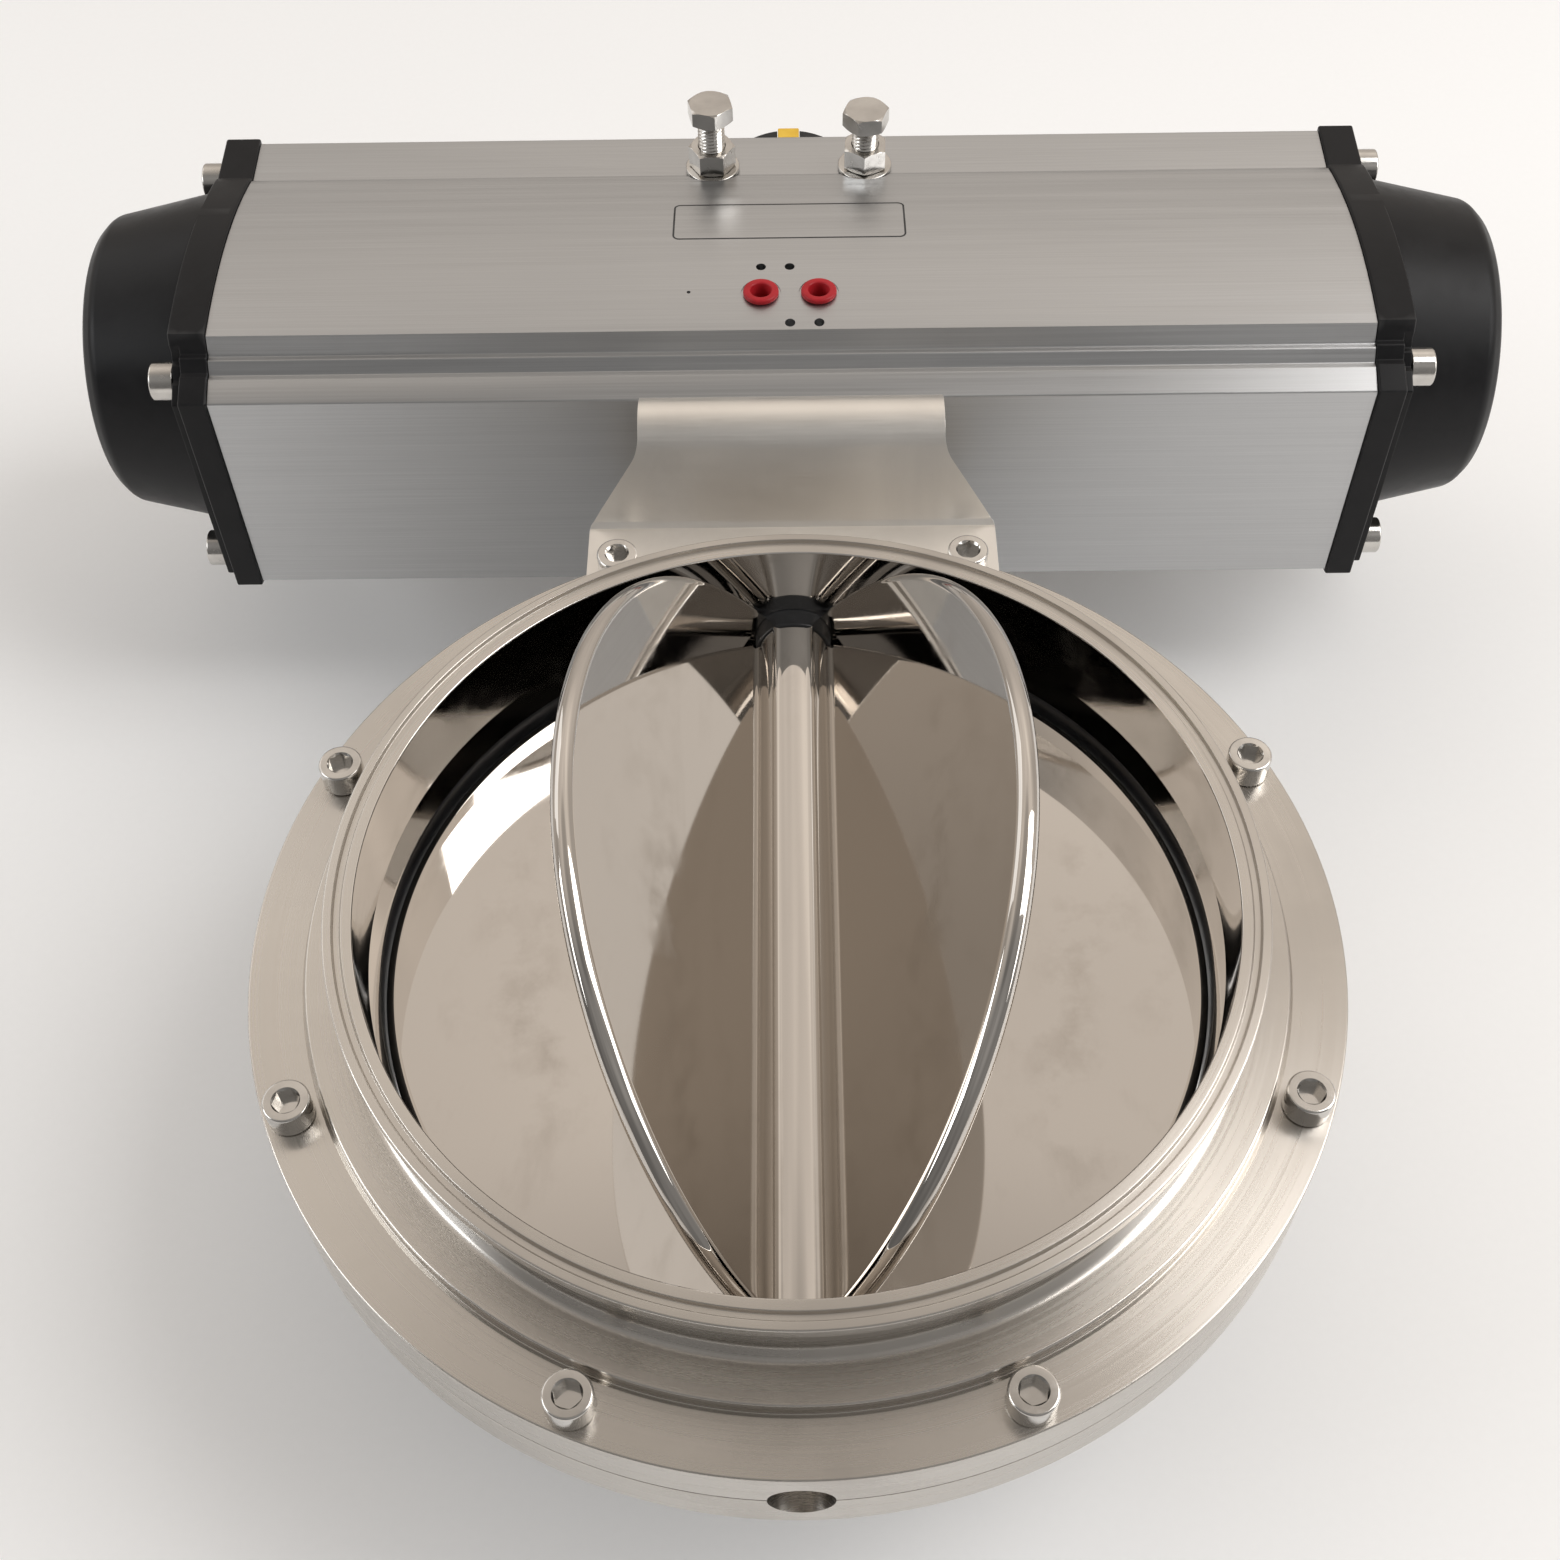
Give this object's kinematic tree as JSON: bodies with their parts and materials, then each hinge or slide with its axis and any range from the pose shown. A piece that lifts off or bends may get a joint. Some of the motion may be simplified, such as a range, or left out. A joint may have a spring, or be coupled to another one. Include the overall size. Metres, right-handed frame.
{
  "type": "sanitary rotary butterfly valve with rack-and-pinion actuator",
  "caption": "Clamp-ended stainless valve whose stem carries crossing round vanes, turned through half a turn by a long twin-piston air actuator on a folded bracket.",
  "frame": {"origin": "where the pipe bore's axis crosses the stem axis, at the middle of the valve body", "axes": "+Z along the pipe bore towards the upper ferrule, +Y along the stem towards the actuator, +X along the actuator"},
  "size_m": [0.61, 0.6321, 0.2568],
  "materials": {
    "turned_stainless": "lathe-turned and part-polished stainless steel with fine circular marks",
    "mirror_stainless": "mirror-polished stainless steel with light smears",
    "seat_rubber": "dark smooth moulded rubber",
    "sheet_stainless": "bright rolled stainless sheet, satin",
    "stainless_fastener": "bright stainless screws",
    "anodised_aluminium": "satin natural anodised extrusion with fine lengthways lines",
    "black_paint": "satin black coated casting",
    "piston_alloy": "cast alloy",
    "bush_bronze": "plain bronze",
    "carbon_steel": "plated steel",
    "black_plastic": "matt black moulding",
    "yellow_plastic": "matt yellow moulding",
    "red_plastic": "soft red moulding"
  },
  "bodies": {
    "body": {"upper_body": "turned_stainless", "lower_body": "turned_stainless", "seat_ring": "seat_rubber", "upper_stem_oring": "seat_rubber", "bracket": "sheet_stainless", "body_bolt_1": "stainless_fastener", "body_bolt_2": "stainless_fastener", "body_bolt_3": "stainless_fastener", "body_bolt_4": "stainless_fastener", "body_bolt_5": "stainless_fastener", "body_bolt_6": "stainless_fastener", "body_bolt_7": "stainless_fastener", "body_bolt_8": "stainless_fastener", "bracket_nut_1": "stainless_fastener", "bracket_nut_2": "stainless_fastener", "actuator_bolt_1": "stainless_fastener", "actuator_bolt_2": "stainless_fastener", "actuator_bolt_3": "stainless_fastener", "actuator_bolt_4": "stainless_fastener", "left_cap_bolt_1": "stainless_fastener", "left_cap_bolt_2": "stainless_fastener", "left_cap_bolt_3": "stainless_fastener", "left_cap_bolt_4": "stainless_fastener", "right_cap_bolt_1": "stainless_fastener", "right_cap_bolt_2": "stainless_fastener", "right_cap_bolt_3": "stainless_fastener", "right_cap_bolt_4": "stainless_fastener", "stop_bolt_1": "stainless_fastener", "stop_bolt_2": "stainless_fastener", "lock_nut_1": "stainless_fastener", "lock_nut_2": "stainless_fastener", "stop_washer_1": "stainless_fastener", "stop_washer_2": "stainless_fastener", "actuator_housing": "anodised_aluminium", "left_end_cap": "black_paint", "right_end_cap": "black_paint", "upper_stem_bush": "bush_bronze", "lower_stem_bush": "bush_bronze", "upper_pinion_bush": "bush_bronze", "lower_pinion_bush": "bush_bronze", "left_port_plug": "red_plastic", "right_port_plug": "red_plastic"},
    "rotor": {"rotor_hub": "mirror_stainless", "vane_1": "mirror_stainless", "vane_2": "mirror_stainless", "vane_3": "mirror_stainless", "vane_4": "mirror_stainless", "vane_5": "mirror_stainless", "vane_6": "mirror_stainless", "coupling": "stainless_fastener", "pinion": "carbon_steel", "snap_ring": "carbon_steel", "stop_cam": "carbon_steel", "position_indicator": "black_plastic", "indicator_pointer": "yellow_plastic"},
    "left_pistons": {"left_piston": "piston_alloy", "left_piston_ring": "seat_rubber"},
    "right_pistons": {"right_piston": "piston_alloy", "right_piston_ring": "seat_rubber"}
  },
  "joints": [
    {"name": "rotor_turn", "type": "hinge", "parent": "body", "child": "rotor", "pos_m": [0, 0, 0], "axis": [0, 1, 0], "range_deg": [0, 180]},
    {"name": "right_piston_slide", "type": "slide", "parent": "body", "child": "right_pistons", "axis": [1, 0, 0], "range_m": [0, 0.0885]},
    {"name": "left_piston_slide", "type": "slide", "parent": "body", "child": "left_pistons", "axis": [-1, 0, 0], "range_m": [0, 0.0885]}
  ],
  "couplings": [
    {"joint": "right_piston_slide", "follows": "rotor_turn", "m_per_rad": 0.028},
    {"joint": "left_piston_slide", "follows": "rotor_turn", "m_per_rad": 0.028}
  ]
}
